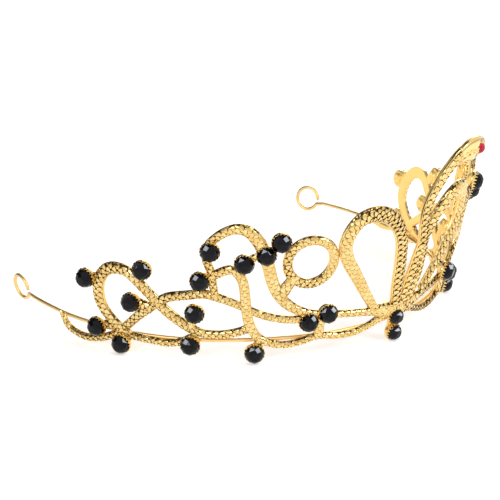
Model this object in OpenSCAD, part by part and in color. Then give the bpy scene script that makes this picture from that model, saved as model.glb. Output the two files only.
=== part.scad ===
// Serpent diadem: a cast tiara of scaled serpent loops, set with round cut stones.
// The band stands on its lowest settings, front towards -Y, the wearer's left towards +X.
// A place on the band is given by its angle from the middle of the front, in degrees,
// and by its height above the table. Tables of one half are used for both halves.

/* [Head opening] */
// Half of the width across the band from ear to ear
half_width = 72; // [68:1:76]
// Depth from the line of the ears to the front of the band
front_depth = 78; // [74:1:84]

/* [Lean] */
// Outward lean of the band at the ears, in degrees
side_lean = 9; // [4:1:12]
// Lean that the front has more than the ears, in degrees
front_lean = 6; // [4:1:10]

/* [Casting] */
// Thickness of a strand before its width is counted
strand_base = 1.1; // [1:0.1:1.6]
// Thickness that each millimetre of width adds
strand_swell = 0.24; // [0.2:0.02:0.32]
// Diameter of the support wire
wire_d = 1.3; // [1.2:0.1:1.6]

/* [Settings] */
// Diameter of the black stones
stone_d = 6.2; // [5.6:0.1:6.4]
// Diameter of the two stones in the middle
middle_stone_d = 5.4; // [5:0.1:5.6]
// Diameter of the red eye stone
eye_d = 3.6; // [3:0.1:4]
// Metal around a stone
rim = 0.35; // [0.3:0.05:0.5]
// Clearance between a stone and its setting
stone_gap = 0.08; // [0.05:0.01:0.12]

/* [Hidden] */
// Lift that sets the lowest settings on the table
rest_height = 0.27;
// Height in the tables at which the band has the outline of the head
outline_height = 1.2;
// Bend of the wearer's left rear: rise of its foot, where it starts and is full, and where it ends above
left_rise = 4.6;
rise_start = 58;
rise_spread = 16;
rise_height = 25;
// Points of a curve between two rows of its table
curve_steps = 2;
// Sides of a setting and of a stone
cup_sides = 10;
stone_sides = 8;
// Heights of a setting off the back of the band: knob, foot of the round wall, seat, rim, girdle
knob_back = -0.5;
cup_foot = 1.2;
seat_floor = 1.5;
cup_rim = 2.6;
girdle = 2.7;

// Cross-section of a strand: [across in half widths, up in thicknesses]
D_SECTION = [[-1, 0], [-0.84, 0.64], [0, 1], [0.84, 0.64], [1, 0]];
// Cross-section of a tab, the same way
TAB_SECTION = [[-1, 0.06], [-0.8, 0.72], [0.8, 0.72], [1, 0.06]];
// Share of its thickness by which each strand's back stands off the one before it in STRANDS
back_step = 0.02;
// Cross-section of the wire, resting on the back of the band, in millimetres
WIRE_SECTION = [for (a = [0:60:300]) [-wire_d / 2 * cos(a), -wire_d * 0.44 + wire_d / 2 * sin(a)]];

// Strands of one half: rows of [angle, height, width]
// Lower body, from the tip of the tail to the front
TAIL_STRAND = [
    [88.2, 8.0, 1.7], [86.3, 3.8, 2.3], [81.5, 2.0, 2.5], [76.6, 3.1, 2.6], [72.2, 5.8, 2.7],
    [69.2, 9.1, 3.0], [66.3, 12.9, 3.2], [63.5, 16.2, 3.3], [60.5, 19.4, 3.4], [57.8, 21.8, 3.3],
    [53.5, 23.1, 3.2], [49.0, 23.8, 3.2], [43.0, 20.9, 2.7], [39.5, 18.4, 2.6],
    [36.3, 16.4, 2.6], [32.5, 14.9, 2.5], [29.5, 14.3, 2.6], [26.4, 14.4, 2.7]
];
// Rear loop, from the rear junction up and down to the bottom of the side
REAR_LOOP = [
    [68.4, 6.4, 3.2], [72.3, 10.5, 3.5], [74.9, 15.4, 3.9], [75.4, 20.6, 4.2], [74.4, 25.4, 4.3],
    [72.2, 28.8, 4.3], [69.6, 29.8, 4.2], [67.1, 29.0, 4.0], [64.7, 25.9, 3.7], [62.4, 22.5, 3.6],
    [60.3, 19.4, 3.6], [58.0, 16.2, 3.6], [55.4, 13.4, 3.5], [52.8, 11.2, 3.2], [49.8, 9.7, 2.9],
    [46.0, 9.5, 2.8], [42.5, 10.4, 2.8], [39.4, 12.0, 2.8]
];
// Low strand between the rear junction and the rear loop's foot
LOW_STRAND = [[68.4, 6.4, 2.8], [64.0, 5.7, 2.4], [59.5, 5.3, 2.5], [55.5, 6.2, 2.5], [51.8, 9.2, 2.6]];
// Hook: up from the tail strand, over, down the side of the ring and along to the middle
HOOK = [
    [47.2, 23.4, 2.7], [48.0, 32.0, 2.8], [48.9, 36.3, 2.8], [48.4, 40.8, 2.9],
    [46.3, 44.2, 3.1], [43.9, 46.4, 3.3], [41.8, 47.0, 3.8], [39.8, 46.0, 4.1], [37.9, 42.8, 4.4],
    [36.6, 38.7, 4.4], [35.6, 34.0, 4.2], [34.8, 29.3, 4.1], [33.4, 24.4, 4.0], [31.1, 20.3, 3.6],
    [28.0, 17.4, 3.1], [24.4, 15.7, 2.8], [19.5, 14.7, 2.5], [10.0, 13.1, 2.8],
    [6.2, 12.4, 4.8], [3.0, 11.6, 6.4], [-0.6, 11.2, 7.0]
];
// Inner strand: from the hook over a small bow, down, and low along to the middle
INNER_STRAND = [
    [47.6, 30.6, 3.0], [44.0, 32.8, 3.2], [42.2, 31.6, 3.3], [41.0, 28.4, 3.4],
    [40.5, 23.0, 3.4], [40.1, 17.2, 3.5], [39.3, 12.6, 3.4], [37.6, 8.7, 3.0], [34.8, 6.4, 2.6],
    [30.9, 5.4, 2.3], [27.0, 6.1, 2.3], [22.8, 7.5, 2.4], [17.5, 6.5, 2.4], [12.6, 6.4, 2.3],
    [8.4, 7.8, 2.3], [5.0, 9.5, 2.8], [-0.6, 11.0, 3.2]
];
// Arch beside the middle, from its outer foot over the top to its inner foot
ARCH = [
    [8.6, 14.8, 3.2], [11.6, 20.4, 3.7], [15.0, 27.5, 4.3], [17.8, 33.8, 4.6], [18.9, 39.4, 4.8],
    [17.9, 44.7, 4.9], [15.7, 48.1, 5.3], [12.4, 48.8, 5.8], [8.9, 46.7, 5.6], [5.9, 42.2, 5.1],
    [4.0, 36.6, 4.8], [2.9, 29.6, 4.7], [2.2, 22.4, 4.8], [1.5, 16.8, 4.8], [0.6, 12.0, 4.6]
];
// Short stub from the ring down to the hook
RING_STUB = [[30.2, 29.0, 3.4], [31.4, 26.4, 4.0], [32.6, 23.8, 4.4]];
STRANDS = [TAIL_STRAND, REAR_LOOP, LOW_STRAND, HOOK, INNER_STRAND, ARCH, RING_STUB];
// Ring: middle [angle, height], radii [degrees, millimetres] and width
ring_middle = [26.3, 34.6];
ring_radii = [5.2, 7.6];
ring_width = 3.3;
ring_points = 18;

// Neck and head of the wearer's left: rows of [angle, height, width, lift off the band, thickness]
NECK = [
    [2.6, 11.6, 4.0, 0, 2.2], [3.9, 17.0, 4.2, 0.2, 2.3], [4.3, 23.0, 4.3, 0.4, 2.3], [4.0, 29.4, 4.3, 0.5, 2.3],
    [3.2, 35.6, 4.3, 0.4, 2.3], [2.2, 41.6, 4.3, 0.2, 2.3], [1.8, 46.6, 4.3, 0.2, 2.3], [2.4, 50.6, 4.3, 0.3, 2.3],
    [3.6, 54.4, 4.3, 0.4, 2.4], [5.1, 58.0, 4.3, 0.5, 2.4], [7.1, 61.0, 4.4, 0.7, 2.5], [9.2, 62.8, 4.8, 0.9, 2.6]
];
HEAD = [
    [8.5, 62.0, 4.4, 0.8, 2.3], [10.4, 63.1, 5.8, 1.0, 2.7], [12.5, 63.3, 6.7, 1.2, 3.0], [14.6, 63.1, 6.6, 1.3, 3.0],
    [16.4, 62.8, 5.8, 1.4, 2.7], [18.0, 62.7, 4.6, 1.5, 2.2], [19.2, 62.8, 3.2, 1.6, 1.5]
];
// Eye on the front of the head: [angle, height]
eye_place = [14.8, 63.0];
eye_seat = 3.4;

// Settings of one half: rows of [angle, height]
SETTINGS = [
    [76.5, 8.0], [70.3, 3.4], [77.9, 24.8], [63.1, 31.2], [66.6, 19.2],
    [53.2, 5.9], [51.8, 17.5], [50.3, 29.1], [47.9, 39.6], [40.8, 35.6],
    [38.3, 3.5], [36.2, 38.6], [33.2, 42.9], [25.9, 13.8], [21.4, 16.2]
];
// Settings in the middle
MIDDLE_SETTINGS = [[-1, 9.4], [-0.2, 3.2]];
// Tabs that join settings to strands: rows of [angle, height, to angle, to height, width]
TABS = [
    [76.5, 8.0, 71.6, 9.0, 3.0], [70.3, 3.4, 68.2, 6.8, 3.6], [77.9, 24.8, 74.8, 24.8, 3.4],
    [63.1, 31.2, 65.6, 27.8, 3.4], [66.6, 19.2, 62.6, 17.4, 3.6], [53.2, 5.9, 52.0, 10.2, 3.4],
    [51.8, 17.5, 53.0, 12.0, 3.0], [50.3, 29.1, 47.8, 29.1, 3.4], [40.8, 35.6, 37.0, 38.0, 2.6],
    [38.3, 3.5, 36.6, 7.4, 3.4], [22.6, 14.6, 22.8, 8.0, 3.4]
];
// Tab under the two settings in the middle: rows of [angle, height, width]
MIDDLE_TAB = [[-0.3, 3.2, 3.6], [-0.5, 10.4, 3.6]];

// Support wire behind the casting, from the middle to one end: rows of [angle, height], and the eye at each end.
// The wire keeps its height on both sides, and its end pieces start a tenth of a millimetre after it.
WIRE = [
    [0, 7.4], [8, 7.2], [16, 7.0], [24, 7.0], [32, 7.0], [40, 6.9], [48, 6.6], [56, 6.4],
    [64, 6.4], [72, 6.6], [80, 7.0], [86, 7.3], [91, 7.7]
];
WIRE_END = [[91.1, 7.7], [95, 8.0], [99, 8.2], [102.6, 8.5], [104.5, 8.8]];
eye_loop_place = [107.2, 9.4];
eye_loop_d = 9;

STONE_NAMES = [
    for (hand = ["right", "left"]) for (i = [1:len(SETTINGS)]) str("stone_", hand, i < 10 ? "_0" : "_", i)
];

// Band surface
function lean(angle) = side_lean + front_lean * pow(cos(angle), 2);
function outward(angle) =
    let (v = [front_depth * sin(angle), -half_width * cos(angle), 0]) v / norm(v);
function band_normal(angle) = cos(lean(angle)) * outward(angle) - [0, 0, sin(lean(angle))];
function band_point(angle, height, lift = 0) =
    [half_width * sin(angle), -front_depth * cos(angle), height + rest_height]
    + (height - outline_height) * tan(lean(angle)) * outward(angle) + lift * band_normal(angle);

// Smooth curve through the rows of a table
function curve_point(a, b, c, d, t) =
    (2 * b + (c - a) * t + (2 * a - 5 * b + 4 * c - d) * t * t + (3 * b - a - 3 * c + d) * t * t * t) / 2;
function row_before(rows) = 2 * rows[0] - rows[1];
function row_after(rows) = let (n = len(rows)) 2 * rows[n - 1] - rows[n - 2];
function curve(rows, steps = curve_steps) =
    let (all = concat([row_before(rows)], rows, [row_after(rows)]), last = len(rows) - 1)
    concat(
        [for (i = [0:last - 1]) for (k = [0:steps - 1])
            curve_point(all[i], all[i + 1], all[i + 2], all[i + 3], k / steps)],
        [rows[last]]
    );
function ring_rows() = [
    for (i = [0:ring_points - 1]) let (turn = 360 * i / ring_points)
        [ring_middle[0] + ring_radii[0] * cos(turn), ring_middle[1] + ring_radii[1] * sin(turn), ring_width]
];

function whole_wire() = concat([for (i = [len(WIRE) - 1:-1:1]) [-WIRE[i][0], WIRE[i][1]]], WIRE);

// Thickness and lift of a row: from its own columns, or from its width
function thickness(row) = len(row) > 4 ? row[4] : strand_base + strand_swell * row[2];
function lift(row) = len(row) > 3 ? row[3] : 0;

// Height of a table's place on its side: the low rear of the wearer's left is bent up
function ease(t) = let (u = min(max(t, 0), 1)) u * u * (3 - 2 * u);
function rise(angle, height) =
    left_rise * ease((angle - rise_start) / rise_spread) * max(0, 1 - height / rise_height);
function side_height(angle, height, side) = height + (side > 0 ? rise(angle, height) : 0);
function on_side(row, side, bent = true) =
    band_point(side * row[0], bent ? side_height(row[0], row[1], side) : row[1], lift(row));

// Rings of points of a sweep along rows that lie on one side of the band
function ring_at(row, ahead, behind, side, section, scale_x, scale_y, bent) =
    let (
        here = on_side(row, side, bent),
        normal = band_normal(side * row[0]),
        across = cross(on_side(ahead, side, bent) - on_side(behind, side, bent), normal),
        over = across / norm(across)
    )
    [for (p = section) here + p[0] * scale_x * over + p[1] * scale_y * normal];

// Solid swept along rows, with its faces wound for either direction of travel
module sweep(rows, side, section, closed = false, wire = false) {
    n = len(rows);
    m = len(section);
    points = [
        for (i = [0:n - 1]) let (
            ahead = closed ? rows[(i + 1) % n] : rows[min(i + 1, n - 1)],
            behind = closed ? rows[(i + n - 1) % n] : rows[max(i - 1, 0)]
        ) each ring_at(
            rows[i], ahead, behind, side, section,
            wire ? 1 : rows[i][2] / 2, wire ? 1 : thickness(rows[i]), !wire
        )
    ];
    walls = [
        for (i = [0:n - (closed ? 1 : 2)]) for (j = [0:m - 1]) let (
            a = i * m + j,
            b = i * m + (j + 1) % m,
            c = (i + 1) % n * m + (j + 1) % m,
            d = (i + 1) % n * m + j
        ) each [[a, d, c], [a, c, b]]
    ];
    ends = closed ? [] : [[for (j = [0:m - 1]) j], [for (j = [m - 1:-1:0]) (n - 1) * m + j]];
    polyhedron(points, concat(walls, ends), convexity = 10);
}

// Children moved to a place of the band: X along it, Y up it, Z out of it
module place(angle, height, lift = 0) {
    z = band_normal(angle);
    up = [0, 0, 1] - z[2] * z;
    y = up / norm(up);
    x = cross(y, z);
    p = band_point(angle, height, lift);
    multmatrix([[x[0], y[0], z[0], p[0]], [x[1], y[1], z[1], p[1]], [x[2], y[2], z[2], p[2]], [0, 0, 0, 1]])
        children();
}

// Children moved to a setting of one side
module at_setting(s, side, lift = 0) place(side * s[0], side_height(s[0], s[1], side), lift) children();

// Strand with its section moved out by a share of its thickness
module strand(rows, side, off = 0) sweep(curve(rows), side, [for (p = D_SECTION) p + [0, off]]);

// Half of the casting that both sides share
module half_casting(side) {
    for (k = [0:len(STRANDS) - 1]) strand(STRANDS[k], side, back_step * (k + 1));
    sweep(ring_rows(), side, D_SECTION, closed = true);
    for (tab = TABS) sweep([[tab[0], tab[1], tab[4]], [tab[2], tab[3], tab[4]]], side, TAB_SECTION);
}

// Round setting with a smooth knob on its back
module cup(d) {
    rim_r = d / 2 + rim;
    hull() {
        translate([0, 0, knob_back]) cylinder(r1 = rim_r * 0.55, r2 = rim_r, h = cup_foot - knob_back, $fn = cup_sides);
        translate([0, 0, cup_foot]) cylinder(r = rim_r, h = cup_rim - cup_foot, $fn = cup_sides);
    }
}

// Room for the stone in its setting
module seat(d) {
    translate([0, 0, seat_floor]) cylinder(r = d / 2 + stone_gap, h = 6, $fn = cup_sides);
}

// Faceted stone with a table: rows of [height from the girdle, radius, turn in facets]
STONE_ROWS = [[-0.18, 0.55, 0], [0, 1, 0.5], [0.24, 0.82, 0], [0.38, 0.45, 0.5]];
module stone(d) {
    n = stone_sides;
    rows = len(STONE_ROWS);
    points = [
        for (row = STONE_ROWS) for (j = [0:n - 1]) let (turn = 360 * (j + row[2]) / n)
            [d / 2 * row[1] * cos(turn), d / 2 * row[1] * sin(turn), d * row[0]]
    ];
    hull() polyhedron(points, [[for (j = [0:n * rows - 1]) j]]);
}

module frame() {
    color("gold") difference() {
        union() {
            half_casting(1);
            half_casting(-1);
            strand(NECK, 1);
            strand(HEAD, 1);
            sweep(MIDDLE_TAB, 1, TAB_SECTION);
            sweep(whole_wire(), 1, WIRE_SECTION, wire = true);
            for (side = [-1, 1], s = SETTINGS) at_setting(s, side) cup(stone_d);
            for (s = MIDDLE_SETTINGS) place(s[0], s[1]) cup(middle_stone_d);
        }
        for (side = [-1, 1], s = SETTINGS) at_setting(s, side) seat(stone_d);
        for (s = MIDDLE_SETTINGS) place(s[0], s[1]) seat(middle_stone_d);
        place(eye_place[0], eye_place[1], eye_seat) cylinder(d = eye_d + 2 * stone_gap, h = 4, $fn = cup_sides);
    }
}

module end_loop(side) {
    color("gold") {
        sweep(curve(WIRE_END, 1), side, WIRE_SECTION, wire = true);
        place(side * eye_loop_place[0], eye_loop_place[1], -wire_d * 0.44)
            rotate_extrude($fn = 20) translate([eye_loop_d / 2 - wire_d / 2, 0]) circle(d = wire_d, $fn = 6);
    }
}

frame();
end_loop(-1);  // end_loop_right
end_loop(1);  // end_loop_left
for (k = [0:len(STONE_NAMES) - 1]) {
    union() {
        side = k < len(SETTINGS) ? -1 : 1;
        s = SETTINGS[k % len(SETTINGS)];
        color("#141418") at_setting(s, side, girdle) stone(stone_d);
    }
}
for (k = [0, 1])
    color("#141418") place(MIDDLE_SETTINGS[k][0], MIDDLE_SETTINGS[k][1], girdle) stone(middle_stone_d);
color("#b0122a") place(eye_place[0], eye_place[1], eye_seat + 1.0) stone(eye_d);  // eye
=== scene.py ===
"""Looks of the serpent diadem: scaled casting, settings, cut stones, wire and studio.

Lengths in the tables are millimetres and angles are degrees, as in the part's source.
A place on the band is its angle from the middle of the front and its height.
"""

import functools
import logging
import math
from dataclasses import dataclass, field, replace
from enum import Enum
from typing import Callable, NamedTuple, Optional, Sequence

import bmesh
import bpy
from mathutils import Matrix, Vector


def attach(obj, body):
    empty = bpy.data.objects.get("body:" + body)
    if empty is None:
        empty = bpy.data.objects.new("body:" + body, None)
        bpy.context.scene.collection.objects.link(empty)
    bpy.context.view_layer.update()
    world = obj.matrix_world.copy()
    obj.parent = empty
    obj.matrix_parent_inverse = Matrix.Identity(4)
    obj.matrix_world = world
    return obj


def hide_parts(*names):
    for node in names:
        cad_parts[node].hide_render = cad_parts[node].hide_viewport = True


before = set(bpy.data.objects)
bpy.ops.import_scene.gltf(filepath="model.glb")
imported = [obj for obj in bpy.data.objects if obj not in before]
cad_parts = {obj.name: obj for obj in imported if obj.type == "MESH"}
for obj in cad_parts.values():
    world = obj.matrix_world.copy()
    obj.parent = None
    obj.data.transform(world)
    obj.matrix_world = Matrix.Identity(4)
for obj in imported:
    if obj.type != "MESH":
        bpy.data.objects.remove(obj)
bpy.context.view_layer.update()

LOG = logging.getLogger("diadem")
MM = 0.001
BODY = "root"
GEMS = "gems"
FAR_SIDE = "far_side"
Z_AXIS = Vector((0.0, 0.0, 1.0))
Colour = tuple[float, float, float, float]
Socket = bpy.types.NodeSocket


class Side(Enum):
    """Half of the band, as the sign of its angles."""

    RIGHT = -1
    LEFT = 1

    @property
    def word(self) -> str:
        """Returns the word used in names."""
        return self.name.lower()


class Slot(Enum):
    """Material slots of the record."""

    GOLD = "gold"
    BLACK = "black_stone"
    RED = "red_stone"


class Row(NamedTuple):
    """One row of a strand's table."""

    angle: float
    height: float
    width: float
    lift: float = 0.0
    thickness: Optional[float] = None


def rows_of(*values: Sequence[float]) -> tuple[Row, ...]:
    """Returns a table's values as rows."""
    return tuple(Row(*value) for value in values)


# Strands of one half, repeated from the part's source
TAIL_STRAND = rows_of(
    (88.2, 8.0, 1.7), (86.3, 3.8, 2.3), (81.5, 2.0, 2.5), (76.6, 3.1, 2.6), (72.2, 5.8, 2.7),
    (69.2, 9.1, 3.0), (66.3, 12.9, 3.2), (63.5, 16.2, 3.3), (60.5, 19.4, 3.4), (57.8, 21.8, 3.3),
    (53.5, 23.1, 3.2), (49.0, 23.8, 3.2), (43.0, 20.9, 2.7), (39.5, 18.4, 2.6),
    (36.3, 16.4, 2.6), (32.5, 14.9, 2.5), (29.5, 14.3, 2.6), (26.4, 14.4, 2.7),
)
REAR_LOOP = rows_of(
    (68.4, 6.4, 3.2), (72.3, 10.5, 3.5), (74.9, 15.4, 3.9), (75.4, 20.6, 4.2), (74.4, 25.4, 4.3),
    (72.2, 28.8, 4.3), (69.6, 29.8, 4.2), (67.1, 29.0, 4.0), (64.7, 25.9, 3.7), (62.4, 22.5, 3.6),
    (60.3, 19.4, 3.6), (58.0, 16.2, 3.6), (55.4, 13.4, 3.5), (52.8, 11.2, 3.2), (49.8, 9.7, 2.9),
    (46.0, 9.5, 2.8), (42.5, 10.4, 2.8), (39.4, 12.0, 2.8),
)
LOW_STRAND = rows_of((68.4, 6.4, 2.8), (64.0, 5.7, 2.4), (59.5, 5.3, 2.5), (55.5, 6.2, 2.5), (51.8, 9.2, 2.6))
HOOK = rows_of(
    (47.2, 23.4, 2.7), (48.0, 32.0, 2.8), (48.9, 36.3, 2.8), (48.4, 40.8, 2.9),
    (46.3, 44.2, 3.1), (43.9, 46.4, 3.3), (41.8, 47.0, 3.8), (39.8, 46.0, 4.1), (37.9, 42.8, 4.4),
    (36.6, 38.7, 4.4), (35.6, 34.0, 4.2), (34.8, 29.3, 4.1), (33.4, 24.4, 4.0), (31.1, 20.3, 3.6),
    (28.0, 17.4, 3.1), (24.4, 15.7, 2.8), (19.5, 14.7, 2.5), (10.0, 13.1, 2.8),
    (6.2, 12.4, 4.8), (3.0, 11.6, 6.4), (-0.6, 11.2, 7.0),
)
INNER_STRAND = rows_of(
    (47.6, 30.6, 3.0), (44.0, 32.8, 3.2), (42.2, 31.6, 3.3), (41.0, 28.4, 3.4),
    (40.5, 23.0, 3.4), (40.1, 17.2, 3.5), (39.3, 12.6, 3.4), (37.6, 8.7, 3.0), (34.8, 6.4, 2.6),
    (30.9, 5.4, 2.3), (27.0, 6.1, 2.3), (22.8, 7.5, 2.4), (17.5, 6.5, 2.4), (12.6, 6.4, 2.3),
    (8.4, 7.8, 2.3), (5.0, 9.5, 2.8), (-0.6, 11.0, 3.2),
)
ARCH = rows_of(
    (8.6, 14.8, 3.2), (11.6, 20.4, 3.7), (15.0, 27.5, 4.3), (17.8, 33.8, 4.6), (18.9, 39.4, 4.8),
    (17.9, 44.7, 4.9), (15.7, 48.1, 5.3), (12.4, 48.8, 5.8), (8.9, 46.7, 5.6), (5.9, 42.2, 5.1),
    (4.0, 36.6, 4.8), (2.9, 29.6, 4.7), (2.2, 22.4, 4.8), (1.5, 16.8, 4.8), (0.6, 12.0, 4.6),
)
RING_STUB = rows_of((30.2, 29.0, 3.4), (31.4, 26.4, 4.0), (32.6, 23.8, 4.4))
STRANDS = (TAIL_STRAND, REAR_LOOP, LOW_STRAND, HOOK, INNER_STRAND, ARCH, RING_STUB)
RING_MIDDLE = (26.3, 34.6)
RING_RADII = (5.2, 7.6)
RING_WIDTH = 3.3
RING_POINTS = 18

# Neck and head of the wearer's left, the last three rows of the neck a little fuller than in the source
NECK = rows_of(
    (2.6, 11.6, 4.0, 0, 2.2), (3.9, 17.0, 4.2, 0.2, 2.3), (4.3, 23.0, 4.3, 0.4, 2.3), (4.0, 29.4, 4.3, 0.5, 2.3),
    (3.2, 35.6, 4.3, 0.4, 2.3), (2.2, 41.6, 4.3, 0.2, 2.3), (1.8, 46.6, 4.3, 0.2, 2.3), (2.4, 50.6, 4.3, 0.3, 2.3),
    (3.6, 54.4, 4.3, 0.4, 2.4), (5.1, 57.9, 4.7, 0.5, 2.4), (7.1, 60.9, 5.3, 0.7, 2.5), (9.2, 62.9, 5.9, 0.9, 2.6),
)
HEAD = rows_of(
    (8.5, 62.0, 4.4, 0.8, 2.3), (10.4, 63.1, 5.8, 1.0, 2.7), (12.5, 63.3, 6.7, 1.2, 3.0), (14.6, 63.1, 6.6, 1.3, 3.0),
    (16.4, 62.8, 5.8, 1.4, 2.7), (18.0, 62.7, 4.6, 1.5, 2.2), (19.2, 62.8, 3.2, 1.6, 1.5),
)
EYE_PLACE = (14.8, 63.0)
EYE_SEAT = 3.4

# Settings of one half and of the middle: angle and height
SETTINGS = (
    (76.5, 8.0), (70.3, 3.4), (77.9, 24.8), (63.1, 31.2), (66.6, 19.2),
    (53.2, 5.9), (51.8, 17.5), (50.3, 29.1), (47.9, 39.6), (40.8, 35.6),
    (38.3, 3.5), (36.2, 38.6), (33.2, 42.9), (25.9, 13.8), (21.4, 16.2),
)
MIDDLE_SETTINGS = ((-1.0, 9.4), (-0.2, 3.2))
# Tabs under the settings: angle, height, to angle, to height, width
TABS = (
    (76.5, 8.0, 71.6, 9.0, 3.0), (70.3, 3.4, 68.2, 6.8, 3.6), (77.9, 24.8, 74.8, 24.8, 3.4),
    (63.1, 31.2, 65.6, 27.8, 3.4), (66.6, 19.2, 62.6, 17.4, 3.6), (53.2, 5.9, 52.0, 10.2, 3.4),
    (51.8, 17.5, 53.0, 12.0, 3.0), (50.3, 29.1, 47.8, 29.1, 3.4), (40.8, 35.6, 37.0, 38.0, 2.6),
    (38.3, 3.5, 36.6, 7.4, 3.4), (22.6, 14.6, 22.8, 8.0, 3.4),
)
# Row that ends the left tail at the wire, in place of the table's first row
LEFT_TAIL_END = Row(87.0, 5.0, 1.9)
MIDDLE_TAB = rows_of((-0.3, 3.2, 3.6), (-0.5, 10.4, 3.6))

# Support wire from the middle to one end, and its eye
WIRE = (
    (0, 7.4), (8, 7.2), (16, 7.0), (24, 7.0), (32, 7.0), (40, 6.9), (48, 6.6), (56, 6.4),
    (64, 6.4), (72, 6.6), (80, 7.0), (86, 7.3), (91, 7.7), (95, 8.0), (99, 8.2), (102.0, 8.4),
)
WIRE_EYE = (107.2, 9.4)
WIRE_EYE_D = 9.5
WIRE_CAD_D = 1.3
# Degrees by which the photograph shows each eye turned about the upright
EYE_TWIST = {Side.RIGHT: 9.0, Side.LEFT: 5.0}

STONE_D = 6.2
MIDDLE_STONE_D = 5.4
RIM = 0.35
GIRDLE = 2.7
STRAND_BASE = 1.1
STRAND_SWELL = 0.24
BACK_STEP = 0.02
# Height of a cup below which its back is satin, and the step between the rings of a strand
SATIN_BELOW = 0.9
STEP = 0.8
# Inputs of the surface detail, and the bend and width of its scratches
DETAIL_SCALES = ("Cloud Scale", "Grain Scale", "Scratch Scale")
SCRATCH_BEND = 0.0006
SCRATCH_WIDTH = 0.035


def hill(x: float, middle: float, width: float) -> float:
    """Returns a smooth hill over x, which is 1 at its middle."""
    return math.exp(-((x - middle) / width) ** 2)


def ramp(x: float, low: float, high: float) -> float:
    """Returns 0 before low, 1 past high and a straight slope between them."""
    return min(1.0, max(0.0, (x - low) / (high - low)))


def circle(count: int, start: float = 0.0) -> list[float]:
    """Returns the angles of evenly spaced points round a circle, in radians."""
    return [2 * math.pi * (j + start) / count for j in range(count)]


def ring_at(place: Matrix, radius: float, height: float, turns: Sequence[float]) -> list[Vector]:
    """Returns a ring of points round the Z axis of a place."""
    return [place @ Vector((radius * math.cos(a), radius * math.sin(a), height)) for a in turns]


@dataclass(frozen=True)
class BandSurface:
    """Leaning oval surface that the back of the casting lies on.

    The fields are those of the part's source, in millimetres and degrees.
    """

    half_width: float = 72.0
    front_depth: float = 78.0
    side_lean: float = 9.0
    front_lean: float = 6.0
    rest_height: float = 0.27
    outline_height: float = 1.2
    left_rise: float = 4.6
    rise_start: float = 58.0
    rise_end: float = 74.0
    rise_height: float = 25.0

    def lean(self, angle: float) -> float:
        """Returns the outward lean at an angle, in radians."""
        return math.radians(self.side_lean + self.front_lean * math.cos(math.radians(angle)) ** 2)

    def outward(self, angle: float) -> Vector:
        """Returns the level direction out of the band at an angle."""
        turn = math.radians(angle)
        return Vector((self.front_depth * math.sin(turn), -self.half_width * math.cos(turn), 0)).normalized()

    def normal(self, angle: float) -> Vector:
        """Returns the direction out of the leaning surface at an angle."""
        lean = self.lean(angle)
        return math.cos(lean) * self.outward(angle) - math.sin(lean) * Z_AXIS

    def point(self, angle: float, height: float, lift: float = 0.0) -> Vector:
        """Returns a place of the surface in millimetres.

        Args:
            angle: Degrees from the middle of the front, positive to the wearer's left.
            height: Height in the tables.
            lift: Distance out of the surface.

        Returns:
            The place in the frame's axes.
        """
        turn = math.radians(angle)
        x, y = self.half_width * math.sin(turn), -self.front_depth * math.cos(turn)
        spread = (height - self.outline_height) * math.tan(self.lean(angle))
        foot = Vector((x, y, height + self.rest_height))
        return foot + spread * self.outward(angle) + lift * self.normal(angle)

    def side_height(self, angle: float, height: float, side: Side) -> float:
        """Returns a table's height on a side: the low rear of the wearer's left is bent up."""
        if side is Side.RIGHT:
            return height
        t = ramp(angle, self.rise_start, self.rise_end)
        return height + self.left_rise * t * t * (3 - 2 * t) * max(0.0, 1 - height / self.rise_height)

    def on_side(self, row: Row, side: Side, bent: bool = True) -> Vector:
        """Returns the place of a row on one side, with the rear bend or without it."""
        height = self.side_height(row.angle, row.height, side) if bent else row.height
        return self.point(side.value * row.angle, height, row.lift)

    def place(self, angle: float, height: float, lift: float = 0.0) -> Matrix:
        """Returns the matrix that puts a thing on the band: X along it, Y up it, Z out of it."""
        z = self.normal(angle)
        y = (Z_AXIS - z.z * z).normalized()
        matrix = Matrix((y.cross(z), y, z)).transposed().to_4x4()
        matrix.translation = self.point(angle, height, lift)
        return matrix


BAND = BandSurface()


@dataclass(frozen=True)
class Station:
    """Cross-section of a strand at one place along it, in millimetres."""

    centre: Vector
    across: Vector
    out: Vector
    half_span: float
    body_height: float


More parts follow.
